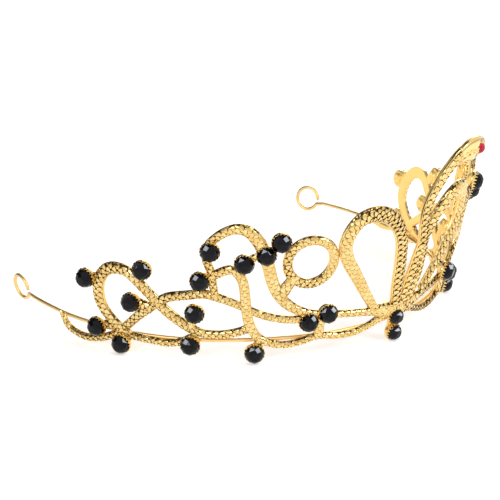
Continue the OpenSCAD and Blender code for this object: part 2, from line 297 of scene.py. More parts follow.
@dataclass(frozen=True)
class Strand:
    """Smooth strand through the rows of a table.

    Attributes:
        rows: Rows of the table.
        side: Half of the band.
        closed: Whether the last row joins the first.
        bent: Whether the rear bend of the wearer's left moves it.
        off: Share of its thickness by which its back stands off the band.
    """

    rows: tuple[Row, ...]
    side: Side
    closed: bool = False
    bent: bool = True
    off: float = 0.0

    def thickness(self, row: Row) -> float:
        """Returns the row's thickness, from its own column or from its width."""
        return STRAND_BASE + STRAND_SWELL * row.width if row.thickness is None else row.thickness

    def spline(self, steps: Callable[[Row, Row], int]) -> list[Row]:
        """Returns rows of the smooth curve through the table, with their thickness filled in.

        Args:
            steps: Number of parts between two neighbouring rows.

        Returns:
            The finer rows.
        """
        base = [row._replace(thickness=self.thickness(row)) for row in self.rows]
        count = len(base)

        def beyond(end: Row, inner: Row) -> Row:
            """Returns the row as far past an end as the inner one is before it."""
            return Row(*(2 * a - b for a, b in zip(end, inner)))

        # Rows with their neighbours round the loop, or with one more past each end
        if self.closed:
            padded = [base[-1], *base, base[0], base[1]]
        else:
            padded = [beyond(base[0], base[1]), *base, beyond(base[-1], base[-2])]
        fine = []
        for before, start, end, after in zip(padded, padded[1:], padded[2:], padded[3:]):
            parts = steps(start, end)
            for k in range(parts):
                fine.append(Row(*(catmull(a, b, c, d, k / parts) for a, b, c, d in zip(before, start, end, after))))
        return fine if self.closed else fine + [base[-1]]

    def stations(self, step: float = STEP) -> list[Station]:
        """Returns cross-sections about one step apart along the strand."""

        def parts(start: Row, end: Row) -> int:
            """Returns how many steps fit between two rows."""
            gap = (BAND.on_side(end, self.side) - BAND.on_side(start, self.side)).length
            return max(1, round(gap / step))

        fine = self.spline(parts)
        places = [BAND.on_side(row, self.side, self.bent) for row in fine]
        last = len(fine) - 1
        found = []
        for i, row in enumerate(fine):
            ahead = places[(i + 1) % len(fine)] if self.closed else places[min(i + 1, last)]
            behind = places[i - 1] if self.closed or i > 0 else places[0]
            out = BAND.normal(self.side.value * row.angle)
            across = (ahead - behind).cross(out).normalized()
            centre = places[i] + out * self.off * row.thickness
            found.append(Station(centre, across, out, row.width / 2, row.thickness))
        return found


def catmull(a: float, b: float, c: float, d: float, t: float) -> float:
    """Returns the Catmull-Rom value between b and c."""
    return (2 * b + (c - a) * t + (2 * a - 5 * b + 4 * c - d) * t * t + (3 * b - a - 3 * c + d) * t ** 3) / 2


def ring_strand(side: Side) -> Strand:
    """Returns the ring of one side as a closed strand."""
    (angle, height), (across, up) = RING_MIDDLE, RING_RADII
    rows = [Row(angle + across * math.cos(a), height + up * math.sin(a), RING_WIDTH) for a in circle(RING_POINTS)]
    return Strand(tuple(rows), side, closed=True)


@dataclass
class MeshDraft:
    """Points, lines, faces and point values gathered for one mesh, in millimetres.

    Attributes:
        name: Name of the object and of its mesh.
        points: Places of the vertices.
        edges: Vertex numbers of each loose line.
        faces: Vertex numbers of each face.
        rings: Vertex numbers of each ring that isn't joined yet.
        values: Number or vector of each vertex, by name.
    """

    name: str
    points: list[Vector] = field(default_factory=list)
    edges: list[tuple[int, int]] = field(default_factory=list)
    faces: list[tuple[int, ...]] = field(default_factory=list)
    rings: list[list[int]] = field(default_factory=list)
    values: dict[str, list] = field(default_factory=dict)

    def add(self, ring: Sequence[Vector], **values: Sequence) -> list[int]:
        """Adds a ring of points with their values and returns their numbers."""
        first = len(self.points)
        self.points.extend(ring)
        for name, numbers in values.items():
            self.values.setdefault(name, []).extend(numbers)
        self.rings.append(list(range(first, len(self.points))))
        return self.rings[-1]

    def join(self, closed: bool = False) -> None:
        """Adds the wall through the rings so far, and its end faces unless it is closed."""
        rings, self.rings = self.rings, []
        for here, there in zip(rings, rings[1:] + rings[:1] if closed else rings[1:]):
            self.faces.extend(zip(here, here[1:] + here[:1], there[1:] + there[:1], there))
        if not closed:
            self.faces.extend((tuple(reversed(rings[0])), tuple(rings[-1])))

    def build(self, smooth: bool = True, solid: bool = True) -> bpy.types.Object:
        """Returns the mesh as a linked object in metres.

        Args:
            smooth: Whether its faces are shaded smooth.
            solid: Whether it is closed, so that its faces are turned outwards.

        Returns:
            The object.
        """
        mesh = bpy.data.meshes.new(self.name)
        mesh.from_pydata([tuple(p * MM) for p in self.points], self.edges, self.faces)
        for name, numbers in self.values.items():
            if isinstance(numbers[0], Vector):
                layer = mesh.attributes.new(name, "FLOAT_VECTOR", "POINT")
                layer.data.foreach_set("vector", [c for v in numbers for c in v])
            else:
                mesh.attributes.new(name, "FLOAT", "POINT").data.foreach_set("value", numbers)
        mesh.polygons.foreach_set("use_smooth", [smooth] * len(mesh.polygons))
        mesh.update()
        if solid:
            work = bmesh.new()
            work.from_mesh(mesh)
            bmesh.ops.recalc_face_normals(work, faces=work.faces)
            work.to_mesh(mesh)
            work.free()
        thing = bpy.data.objects.new(self.name, mesh)
        bpy.context.collection.objects.link(thing)
        return thing


def finish_piece(
    thing: bpy.types.Object, finish: Optional["Finish"], nodes: Sequence[str] = ("frame",),
) -> None:
    """Dresses a piece, attaches it to the body and hides the CAD nodes that it stands for.

    Args:
        thing: The piece.
        finish: Finish, or None where the piece already has its material.
        nodes: CAD nodes that the piece stands for.
    """
    if finish is not None:
        thing.data.materials.clear()
        thing.data.materials.append(finish.material())
    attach(thing, BODY)
    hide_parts(*nodes)
    LOG.info("%s: %d faces", thing.name, len(thing.data.polygons))


class NodeKit:
    """Short way to fill a node tree."""

    def __init__(self, tree: bpy.types.NodeTree) -> None:
        """Keeps the tree that nodes are added to."""
        self.tree = tree

    def add(self, kind: str, inputs: Optional[dict] = None, **settings: object) -> bpy.types.Node:
        """Adds a node.

        Args:
            kind: Class name of the node.
            inputs: Value or source socket of inputs, by name or number.
            **settings: Properties of the node.

        Returns:
            The new node.
        """
        node = self.tree.nodes.new(kind)
        for name, value in settings.items():
            setattr(node, name, value)
        self.fill(node, inputs or {})
        return node

    def fill(self, node: bpy.types.Node, inputs: dict) -> None:
        """Links source sockets to a node's inputs, or sets the inputs' values."""
        for key, value in inputs.items():
            if isinstance(value, Socket):
                self.tree.links.new(value, node.inputs[key])
            else:
                node.inputs[key].default_value = value

    def out(self, kind: str, inputs: Optional[dict] = None, **settings: object) -> Socket:
        """Adds a node as add does and returns its first output in use."""
        return next(s for s in self.add(kind, inputs, **settings).outputs if s.enabled)

    def math(self, operation: str, *values: object) -> Socket:
        """Returns the output of a math node."""
        return self.out("ShaderNodeMath", dict(enumerate(values)), operation=operation)

    def times(self, *values: object) -> Socket:
        """Returns the product of some values."""
        return functools.reduce(lambda a, b: self.math("MULTIPLY", a, b), values)

    def bowed(self, value: Socket, power: float) -> Socket:
        """Returns a value raised to a power, with its sign kept."""
        return self.times(self.math("SIGN", value), self.math("POWER", self.math("ABSOLUTE", value), power))

    def vector(self, operation: str, *values: object, **named: object) -> Socket:
        """Returns the output of a vector math node."""
        return self.out("ShaderNodeVectorMath", {**dict(enumerate(values)), **named}, operation=operation)

    def remap(self, value: object, low: float, high: float, to_low: float = 0.0, to_high: float = 1.0) -> Socket:
        """Returns a value moved from one range to another, held at its ends."""
        ranges = {"From Min": low, "From Max": high, "To Min": to_low, "To Max": to_high}
        return self.out("ShaderNodeMapRange", {"Value": value, **ranges})

    def blend(self, share: object, low: object, high: object) -> Socket:
        """Returns a colour between two."""
        return self.add("ShaderNodeMix", {0: share, 6: low, 7: high}, data_type="RGBA").outputs[2]

    def attribute(self, name: str) -> Socket:
        """Returns a named number of the mesh, in a material."""
        return self.add("ShaderNodeAttribute", attribute_name=name).outputs["Fac"]

    def named(self, name: str, kind: str = "FLOAT") -> Socket:
        """Returns a named attribute, in a geometry tree."""
        return self.out("GeometryNodeInputNamedAttribute", {"Name": name}, data_type=kind)

    def store(self, geometry: Socket, name: str, value: Socket, kind: str = "FLOAT", domain: str = "POINT") -> Socket:
        """Returns a geometry that keeps a value as a named attribute."""
        inputs = {"Geometry": geometry, "Name": name, "Value": value}
        return self.out("GeometryNodeStoreNamedAttribute", inputs, data_type=kind, domain=domain)

    def random(self, seed: int) -> Socket:
        """Returns a random number from 0 to 1 for each element."""
        return self.out("FunctionNodeRandomValue", {"Seed": seed}, data_type="FLOAT")

    def tipped(self, normal: Socket, forward: Socket, angle: Socket) -> Socket:
        """Returns the rotation with Z along a normal and X forward, then turned about its own Y."""
        stand = self.out("FunctionNodeAxesToRotation", {0: normal, 1: forward}, primary_axis="Z", secondary_axis="X")
        tip = self.out("FunctionNodeAxisAngleToRotation", {"Axis": (0.0, 1.0, 0.0), "Angle": angle})
        return self.out("FunctionNodeRotateRotation", {0: stand, 1: tip}, rotation_space="LOCAL")

    def combine(self, x: object, y: object, z: object) -> Socket:
        """Returns a vector made of three numbers."""
        return self.out("ShaderNodeCombineXYZ", {"X": x, "Y": y, "Z": z})

    def clad(self, geometry: Socket, metal: Socket) -> Socket:
        """Returns a geometry with a material set."""
        return self.out("GeometryNodeSetMaterial", {"Geometry": geometry, "Material": metal})


def new_tree(
    name: str, kind: str, inputs: dict[str, Sequence[str]], outputs: dict[str, Sequence[str]],
) -> tuple[NodeKit, object]:
    """Makes a node tree with named inputs and outputs.

    Args:
        name: Name of the tree.
        kind: Shader or Geometry.
        inputs: Names of the inputs under their kind of socket.
        outputs: Names of the outputs under their kind of socket.
    """
    kit = NodeKit(bpy.data.node_groups.new(name, f"{kind}NodeTree"))
    sockets = [("INPUT", label, sort) for sort, labels in inputs.items() for label in labels]
    sockets += [("OUTPUT", label, sort) for sort, labels in outputs.items() for label in labels]
    for direction, label, sort in sockets:
        kit.tree.interface.new_socket(label, in_out=direction, socket_type=f"NodeSocket{sort}")
    return kit, kit.add("NodeGroupInput").outputs


def run_tree(thing: bpy.types.Object, tree: bpy.types.NodeTree, values: dict[str, object]) -> bpy.types.Object:
    """Runs a geometry tree on an object and keeps the result as its mesh.

    Args:
        thing: Object whose mesh holds the points or lines that the tree reads.
        tree: The geometry tree.
        values: Values of the tree's inputs, by name.

    Returns:
        The same object with the made mesh and no modifier.
    """
    modifier = thing.modifiers.new("made", "NODES")
    modifier.node_group = tree
    for item in tree.interface.items_tree:
        if item.item_type == "SOCKET" and item.in_out == "INPUT" and item.name in values:
            modifier[item.identifier] = values[item.name]
    bpy.context.view_layer.update()
    depsgraph = bpy.context.evaluated_depsgraph_get()
    made = bpy.data.meshes.new_from_object(thing.evaluated_get(depsgraph), depsgraph=depsgraph)
    thing.modifiers.remove(modifier)
    spare, thing.data = thing.data, made
    made.name = thing.name
    bpy.data.meshes.remove(spare)
    return thing


# Materials

@functools.cache
def surface_detail_group() -> bpy.types.NodeTree:
    """Returns the shared group of fine surface detail, made once.

    Its outputs are Cloud, a slow change of tone, Grain, the fine height of a cast or polished
    surface, and Scratch, thin lines that are one on a scratch.
    """
    outputs = {"Float": ("Cloud", "Grain", "Scratch")}
    kit, given = new_tree("surface_detail", "Shader", {"Float": DETAIL_SCALES}, outputs)
    where = kit.add("ShaderNodeTexCoord").outputs["Object"]
    cloud, grain = (
        kit.add("ShaderNodeTexNoise", {"Vector": where, "Scale": given[scale], "Detail": detail, "Roughness": rough})
        for scale, detail, rough in (("Cloud Scale", 3.0, 0.5), ("Grain Scale", 2.0, 0.6))
    )
    bent = kit.vector("ADD", where, kit.vector("SCALE", cloud.outputs["Color"], Scale=SCRATCH_BEND))
    lines = kit.add("ShaderNodeTexVoronoi", {
        "Vector": bent, "Scale": given["Scratch Scale"], "Randomness": 1.0,
    }, feature="DISTANCE_TO_EDGE")
    scratch = kit.remap(lines.outputs["Distance"], 0.0, SCRATCH_WIDTH, 1.0, 0.0)
    kit.add("NodeGroupOutput", {"Cloud": cloud.outputs[0], "Grain": grain.outputs[0], "Scratch": scratch})
    return kit.tree


@functools.cache
def tint_group() -> bpy.types.NodeTree:
    """Returns the shared group that mixes painted shade into a colour and brightens it by a tone, made once."""
    kit, given = new_tree(
        "tint_by_painted_shade", "Shader",
        {"Color": ("Bright", "Deep", "Painted Shade Color"), "Float": ("Tone", "Recess")}, {"Color": ("Color",)},
    )
    toned = kit.blend(given["Tone"], given["Deep"], given["Bright"])
    kit.add("NodeGroupOutput", {"Color": kit.blend(given["Recess"], toned, given["Painted Shade Color"])})
    return kit.tree


@dataclass(frozen=True)
class Finish:
    """Look of a piece, under the name of its material."""

    name: str

    @functools.cache
    def material(self) -> bpy.types.Material:
        """Returns the material with its nodes, made once."""
        material = bpy.data.materials.new(self.name)
        material.use_nodes = True
        shader = next(n for n in material.node_tree.nodes if n.bl_idname == "ShaderNodeBsdfPrincipled")
        kit = NodeKit(material.node_tree)
        kit.fill(shader, self.inputs(kit))
        return material

    def inputs(self, kit: NodeKit) -> dict[str, object]:
        """Returns what goes into the main shader."""
        raise NotImplementedError

    @staticmethod
    def detail(kit: NodeKit, *scales: float) -> object:
        """Returns the outputs of the surface detail group, with its three scales set."""
        inputs = dict(zip(DETAIL_SCALES, scales))
        return kit.add("ShaderNodeGroup", inputs, node_tree=surface_detail_group()).outputs

    @staticmethod
    def bump(kit: NodeKit, height: Socket, strength: float, depth: float) -> Socket:
        """Returns the normal of a bumped surface, whose depth is in millimetres."""
        return kit.out("ShaderNodeBump", {"Height": height, "Strength": strength, "Distance": depth * MM})


@dataclass(frozen=True)
class GoldFinish(Finish):
    """Plated gold with painted shade mixed in where its painted-shade attribute is high.

    Attributes:
        bright: Colour of the brightest metal.
        deep: Colour of the deeper metal.
        recess: Colour of the painted shade in recesses, under scale tips and on upward faces.
        polish: Roughness of the smoothest metal.
        worn: Roughness of the dullest metal.
        depth: Height of the fine grain in millimetres.
        tone_name: Point attribute that varies the tone, or an empty text.
        painted_shade_to: Painted shade value at which it is darkest.
        darkest: Share of the painted shade there.
        reflection_flecks: Whether upward faces have small flecks of painted dark reflection, as the upward attribute
            tells.
        satin: Extra roughness where the satin attribute is high.
        satin_colour: Colour of the metal there.
    """

    bright: Colour = (0.90, 0.67, 0.29, 1.0)
    deep: Colour = (0.81, 0.56, 0.20, 1.0)
    recess: Colour = (0.05, 0.02, 0.005, 1.0)
    polish: float = 0.12
    worn: float = 0.30
    depth: float = 0.012
    tone_name: str = ""
    painted_shade_to: float = 1.0
    darkest: float = 0.9
    reflection_flecks: bool = False
    satin: float = 0.0
    satin_colour: Colour = (1.0, 0.68, 0.23, 1.0)

    # Scales of the detail, and shares of the tone attribute and of the cloud in the tone
    SCALES = (160.0, 2600.0, 420.0)
    TONE_SHARES = (0.6, 0.4)
    # Scale of the noise of the painted dark reflection flecks, the noise values at their edge, and how far up their
    # faces look
    FLECK_SCALE = 950.0
    FLECK_EDGE = (0.53, 0.49)
    FLECK_FACES = (0.3, 0.6)
    # Share of a scratch in the roughness and in the height of the surface
    SCRATCH_DULL = 0.25
    SCRATCH_DEPTH = -0.3

    def inputs(self, kit: NodeKit) -> dict[str, object]:
        """Returns what goes into the main shader."""
        detail = self.detail(kit, *self.SCALES)
        tone, grain, scratch = detail["Cloud"], detail["Grain"], detail["Scratch"]
        if self.tone_name:
            own, cloud = self.TONE_SHARES
            tone = kit.math("MULTIPLY_ADD", kit.attribute(self.tone_name), own, kit.times(tone, cloud))
        # Painted shade from the mesh's attribute, and painted dark reflection flecks on upward faces, darken the
        # colour
        dark = kit.attribute("recess")
        if self.reflection_flecks:
            dark = kit.math("MAXIMUM", dark, self.reflection_fleck(kit))
        colour = kit.add("ShaderNodeGroup", {
            "Tone": kit.remap(tone, 0.3, 0.7), "Recess": kit.remap(dark, 0.0, self.painted_shade_to, 0.0, self.darkest),
            "Bright": self.bright, "Deep": self.deep, "Painted Shade Color": self.recess,
        }, node_tree=tint_group()).outputs["Color"]
        dull = kit.math("MULTIPLY_ADD", scratch, self.SCRATCH_DULL, grain)
        rough = kit.remap(dull, 0.3, 0.9, self.polish, self.worn)
        if self.satin > 0:
            back = kit.attribute("satin")
            rough = kit.math("MULTIPLY_ADD", back, self.satin, rough)
            colour = kit.blend(back, colour, self.satin_colour)
        normal = self.bump(kit, kit.math("MULTIPLY_ADD", scratch, self.SCRATCH_DEPTH, grain), 0.6, self.depth)
        return {"Base Color": colour, "Metallic": 1.0, "Roughness": rough, "Normal": normal}

    def reflection_fleck(self, kit: NodeKit) -> Socket:
        """Returns the painted shade value of small flecks of painted dark reflection on the faces that look up."""
        where = kit.add("ShaderNodeTexCoord").outputs["Object"]
        noise = kit.add("ShaderNodeTexNoise", {"Vector": where, "Scale": self.FLECK_SCALE, "Detail": 1.0})
        spot = kit.remap(noise.outputs[0], *self.FLECK_EDGE, 0.0, self.painted_shade_to)
        return kit.times(kit.remap(kit.attribute("upward"), *self.FLECK_FACES), spot)


@dataclass(frozen=True)
class StoneFinish(Finish):
    """Polished faceted stone with faint handling marks.

    Attributes:
        light: Colour of the clearer parts.
        dark: Colour of the darker parts.
        shine: Strength of the reflection.
        polish: Roughness of the polished facets.
        marks: Extra roughness of the handling marks.
    """

    light: Colour
    dark: Colour
    shine: float
    polish: float = 0.03
    marks: float = 0.10

    def inputs(self, kit: NodeKit) -> dict[str, object]:
        """Returns what goes into the main shader."""
        detail = self.detail(kit, 340.0, 1800.0, 300.0)
        marks = kit.times(detail["Scratch"], detail["Grain"])
        return {
            "Base Color": kit.blend(kit.remap(detail["Cloud"], 0.35, 0.65), self.dark, self.light),
            "Roughness": kit.math("MULTIPLY_ADD", marks, self.marks, self.polish),
            "Specular IOR Level": self.shine, "Normal": self.bump(kit, marks, 0.15, 0.01),
        }


@dataclass(frozen=True)
class PaperFinish(Finish):
    """Plain paper with a barely visible grain, which may glow like a light table."""

    colour: Colour
    shade: Colour
    glow: float

    def inputs(self, kit: NodeKit) -> dict[str, object]:
        """Returns what goes into the main shader."""
        grain = self.detail(kit, 30.0, 900.0, 20.0)["Grain"]
        return {
            "Base Color": kit.blend(grain, self.shade, self.colour), "Roughness": 0.85,
            "Emission Color": (1.0, 1.0, 1.0, 1.0), "Emission Strength": self.glow,
        }


# The body's third colour is the near-black painted shade of its grooves, its neck line and its upward walls
BODY_GOLD = GoldFinish(
    "gold_body", (1.0, 0.74, 0.33, 1.0), (0.96, 0.68, 0.26, 1.0), (0.015, 0.008, 0.003, 1.0),
    worn=0.24, darkest=0.97, reflection_flecks=True, satin=0.3,
)
SCALE_GOLD = GoldFinish("gold_scales", worn=0.26, tone_name="tone", painted_shade_to=0.85, darkest=0.95, reflection_flecks=True)
POLISHED_GOLD = GoldFinish("gold_polished", polish=0.16, depth=0.008)
WIRE_GOLD = GoldFinish(
    "gold_wire", (0.95, 0.68, 0.32, 1.0), (0.86, 0.57, 0.22, 1.0), polish=0.3, worn=0.45, depth=0.006,
)
BLACK_STONE = StoneFinish("stone_black", (0.0014, 0.0014, 0.0022, 1.0), (0.0004, 0.0004, 0.0008, 1.0), 0.2)
RED_STONE = StoneFinish("stone_red", (0.62, 0.005, 0.04, 1.0), (0.16, 0.0, 0.008, 1.0), 0.3)
FLOOR_PAPER = PaperFinish("floor_paper", (0.93, 0.93, 0.93, 1.0), (0.91, 0.91, 0.91, 1.0), 0.42)
CARD_PAPER = PaperFinish("card_paper", (0.02, 0.02, 0.02, 1.0), (0.015, 0.015, 0.015, 1.0), 0.0)


# Scales that follow the strands

class ScaleTree:
    """Geometry tree that lays rows of overlapping scales along lines.

    The lines carry the attributes across, outward, half_span and body_height at each point.
    """

    SEED = 7
    EDGE_TURN = 0.36
    WIDTH_SHARE = 0.47
    EDGE_WIDTH = 0.35
    ROUNDING = 0.83
    # Shares of the half width and of the height that make up the way round the scales
    GIRTH = (1.9, 1.2)
    # Shares of the tilt that a scale has at least and at most
    TILT_SHARES = (-0.7, -1.3)
    # One scale: size of its foot and top, widening from its root on, heights of its dome and wall
    CORNERS = 12
    PLAN = (1.04, 0.83)
    ROOT = (-1.0, 0.3, 0.6, 1.0)
    BLUNTNESS = 0.6
    DOME = (0.65, 0.40)
    WALL_TOP = 0.35
    # Where along a scale the painted shade under its tip begins and is full
    TIP = (0.48, 0.86)

    @classmethod
    @functools.cache
    def get(cls) -> bpy.types.NodeTree:
        """Returns the tree, made once."""
        kit, given = new_tree("rows_of_scales", "Geometry", {
            "Geometry": ("Lines",), "Material": ("Metal",),
            "Float": ("Row Pitch", "Column Pitch", "Overlap", "Scale Height", "Tilt", "Jitter"),
        }, {"Geometry": ("Scales",)})
        placed, rotation, size = cls.lay_out(kit, given, cls.row_points(kit, given))
        stamped = kit.add("GeometryNodeInstanceOnPoints", {
            "Points": placed, "Instance": cls.one_scale(kit), "Rotation": rotation, "Scale": size,
        }).outputs["Instances"]
        toned = kit.store(stamped, "tone", kit.random(cls.SEED), domain="INSTANCE")
        real = kit.out("GeometryNodeRealizeInstances", {"Geometry": toned})
        soft = kit.out("GeometryNodeSetShadeSmooth", {"Geometry": real})
        kit.add("NodeGroupOutput", {"Scales": kit.clad(soft, given["Metal"])})
        return kit.tree

    @classmethod
    def row_points(cls, kit: NodeKit, given: object) -> Socket:
        """Returns one point for each scale, with its row's tangent, parity and number of columns."""
        curve = kit.out("GeometryNodeMeshToCurve", {"Mesh": given["Lines"]})
        even = kit.out("GeometryNodeResampleCurve", {"Curve": curve, "Length": given["Row Pitch"]}, mode="LENGTH")
        rows = kit.add("GeometryNodeCurveToPoints", {"Curve": even}, mode="EVALUATED").outputs
        parity = kit.math("MODULO", kit.out("GeometryNodeInputIndex"), 2.0)
        rise = kit.times(kit.named("body_height"), cls.GIRTH[1])
        girth = kit.math("MULTIPLY_ADD", kit.named("half_span"), cls.GIRTH[0], rise)
        columns = kit.math("MAXIMUM", kit.math("ROUND", kit.math("DIVIDE", girth, given["Column Pitch"])), 2.0)
        held = kit.store(rows["Points"], "tangent", rows["Tangent"], "FLOAT_VECTOR")
        for name, value in (("parity", parity), ("girth", girth), ("columns", columns)):
            held = kit.store(held, name, value)
        amount = kit.math("ADD", kit.named("columns"), kit.named("parity"))
        copies = kit.add("GeometryNodeDuplicateElements", {"Geometry": held, "Amount": amount}, domain="POINT")
        return kit.store(copies.outputs[0], "column", copies.outputs["Duplicate Index"])

    @classmethod
    def lay_out(cls, kit: NodeKit, given: object, points: Socket) -> tuple[Socket, Socket, Socket]:
        """Moves the points round the strand and returns them with their rotation and size."""
        shift = kit.math("MULTIPLY_ADD", kit.named("parity"), -0.5, 0.5)
        share = kit.math("DIVIDE", kit.math("ADD", kit.named("column"), shift), kit.named("columns"))
        turn = kit.remap(share, 0.0, 1.0, cls.EDGE_TURN, math.pi - cls.EDGE_TURN)
        cosine, sine = kit.math("COSINE", turn), kit.math("SINE", turn)
        wide, tall = kit.bowed(cosine, cls.ROUNDING), kit.math("POWER", sine, cls.ROUNDING)
        span, body = kit.named("half_span"), kit.named("body_height")
        across, outward = kit.named("across", "FLOAT_VECTOR"), kit.named("outward", "FLOAT_VECTOR")

        def on_section(x: Socket, y: Socket) -> Socket:
            """Returns the vector of a place in the strand's section."""
            return kit.vector("ADD", kit.vector("SCALE", across, Scale=x), kit.vector("SCALE", outward, Scale=y))

        offset = on_section(kit.times(span, wide), kit.times(body, tall))
        slope = on_section(kit.math("DIVIDE", cosine, span), kit.math("DIVIDE", sine, body))
        normal = kit.vector("NORMALIZE", slope)
        noted = kit.store(points, "upward", kit.add("ShaderNodeSeparateXYZ", {"Vector": normal}).outputs[2])
        moved = kit.out("GeometryNodeSetPosition", {"Geometry": noted, "Offset": offset})
        chance = kit.remap(kit.random(cls.SEED + 1), 0.0, 1.0, *cls.TILT_SHARES)
        rotation = kit.tipped(normal, kit.named("tangent", "FLOAT_VECTOR"), kit.times(given["Tilt"], chance))
        spread = kit.math("SUBTRACT", kit.random(cls.SEED + 2), 0.5)
        change = kit.math("MULTIPLY_ADD", spread, given["Jitter"], 1.0)
        length = kit.times(given["Row Pitch"], given["Overlap"], change)
        narrow = kit.remap(sine, math.sin(cls.EDGE_TURN), 1.0, cls.EDGE_WIDTH, 1.0)
        pitch = kit.math("DIVIDE", kit.named("girth"), kit.named("columns"))
        width = kit.times(pitch, kit.times(narrow, cls.WIDTH_SHARE))
        return moved, rotation, kit.combine(length, width, kit.times(given["Scale Height"], change))

    @classmethod
    def one_scale(cls, kit: NodeKit) -> Socket:
        """Returns one unit scale: a tile with a sloping wall, narrow at its root, with painted shade under its tip.
        """
        tile = kit.add("GeometryNodeMeshCylinder", {
            "Vertices": cls.CORNERS, "Side Segments": 2, "Fill Segments": 1, "Radius": 1.0, "Depth": 2.0,
        }, fill_type="TRIANGLE_FAN").outputs["Mesh"]
        x, y, z = kit.add("ShaderNodeSeparateXYZ", {"Vector": kit.out("GeometryNodeInputPosition")}).outputs
        plan = kit.remap(z, -1.0, 1.0, *cls.PLAN)
        root = kit.remap(x, *cls.ROOT)
        edge = kit.math("ADD", kit.times(x, x), kit.times(y, y))
        dome = kit.times(kit.remap(z, 0.0, 1.0), kit.remap(edge, 0.0, 1.0, *cls.DOME))
        wall = kit.remap(z, -1.0, 0.0, -1.0, cls.WALL_TOP)
        shaped = kit.combine(
            kit.times(kit.bowed(x, cls.BLUNTNESS), plan), kit.times(y, plan, root), kit.math("ADD", wall, dome),
        )
        # Painted shade on the lower wall of the tip half, where the step down to the next scale would be in shade
        under = kit.times(kit.remap(z, 0.0, 1.0, 1.0, 0.0), kit.remap(x, *cls.TIP))
        marked = kit.store(tile, "recess", under)
        return kit.out("GeometryNodeSetPosition", {"Geometry": marked, "Position": shaped})


@dataclass(frozen=True)
class ScaleSkin:
    """Sizes of one skin of scales, in millimetres and radians."""

    row_pitch: float = 1.12
    column_pitch: float = 2.4
    overlap: float = 1.18
    scale_height: float = 0.09
    tilt: float = 0.17
    jitter: float = 0.05
    span_share: float = 0.80
    body_share: float = 0.57
    foot_share: float = 0.30

    def lay(self, name: str, strands: Sequence[Strand]) -> None:
        """Makes the scales of several strands as one piece under a name."""
        draft = MeshDraft(name)
        for strand in strands:
            stations = strand.stations()
            line = draft.add(
                [s.centre + s.out * s.body_height * self.foot_share for s in stations],
                across=[s.across for s in stations], outward=[s.out for s in stations],
                half_span=[s.half_span * self.span_share * MM for s in stations],
                body_height=[s.body_height * self.body_share * MM for s in stations],
            )
            draft.edges.extend(zip(line, line[1:] + line[:1] if strand.closed else line[1:]))
        scales = run_tree(draft.build(solid=False), ScaleTree.get(), {
            "Row Pitch": self.row_pitch * MM, "Column Pitch": self.column_pitch * MM, "Overlap": self.overlap,
            "Scale Height": self.scale_height * MM, "Tilt": self.tilt, "Jitter": self.jitter,
            "Metal": SCALE_GOLD.material(),
        })
        finish_piece(scales, None)


class StrandShape:
    """Section of a strand: flat satin back, smooth side walls and a rounded front under the scales."""

    # Across, up, painted shade and satin of one half, from the middle of the back round to the front; the front under
    # the scales is painted in shade where it shows between them
    HALF = (
        (0.45, 0.0, 0.0, 1.0), (0.85, 0.0, 0.0, 1.0), (0.93, 0.04, 0.0, 1.0), (0.965, 0.13, 0.0, 0.7),
        (0.97, 0.30, 0.0, 0.2), (0.95, 0.40, 0.0, 0.0), (0.90, 0.47, 0.0, 0.0), (0.84, 0.50, 0.2, 0.0),
        (0.79, 0.48, 0.9, 0.0), (0.72, 0.56, 0.9, 0.0), (0.60, 0.68, 0.9, 0.0), (0.40, 0.78, 0.9, 0.0),
        (0.20, 0.82, 0.9, 0.0),
    )
    SECTION = (*HALF, (0.0, 0.83, 0.9, 0.0), *((-u, v, r, b) for u, v, r, b in reversed(HALF)))
    # Heights in millimetres over which the painted shade line of a wall begins, and where on the section it is
    DARK_FROM = (41.0, 45.0)
    LINE_ACROSS = 0.92
    LINE_UP = (0.2, 0.45)
    # Where the walls are on the section, and the painted shade of those that look up, a painted dark reflection
    WALL_ACROSS = 0.8
    WALL_UP = 0.1
    UPPER_SHADE = 0.12

    @classmethod
    def in_line(cls, across: float, up: float) -> bool:
        """Returns whether a point of the section is on the painted shade line of the wall."""
        return across > cls.LINE_ACROSS and cls.LINE_UP[0] < up < cls.LINE_UP[1]

    @classmethod
    def on_wall(cls, across: float, up: float) -> bool:
        """Returns whether a point of the section is on a wall or on the border above it."""
        return abs(across) > cls.WALL_ACROSS and up > cls.WALL_UP

    @classmethod
    def add(cls, draft: MeshDraft, strand: Strand, tall: float = 1.0, dark_wall: int = 0) -> None:
        """Adds a strand's body to a draft.

        Args:
            draft: Draft that takes the body.
            strand: The strand.
            tall: Share of the table's thickness.
            dark_wall: Side, 1 or -1, whose wall has a painted shade line high up, or 0 for none.
        """
        for s in strand.stations():
            line = ramp(s.centre.z, *cls.DARK_FROM)
            lit = 0.0 if dark_wall else s.across.z
            upper = [max(0.0, u * lit) if cls.on_wall(u, v) else 0.0 for u, v, _, _ in cls.SECTION]
            draft.add(
                [
                    s.centre + s.across * u * s.half_span + s.out * v * tall * s.body_height
                    for u, v, _, _ in cls.SECTION
                ],
                # Painted shade: between the scales, along the dark wall's line and, as painted dark reflection, on
                # the upward walls
                recess=[
                    max(r, line if cls.in_line(u * dark_wall, v) else 0.0, cls.UPPER_SHADE * shade)
                    for (u, v, r, _), shade in zip(cls.SECTION, upper)
                ],
                satin=[b for _, _, _, b in cls.SECTION], upward=upper,
            )
        draft.join(strand.closed)


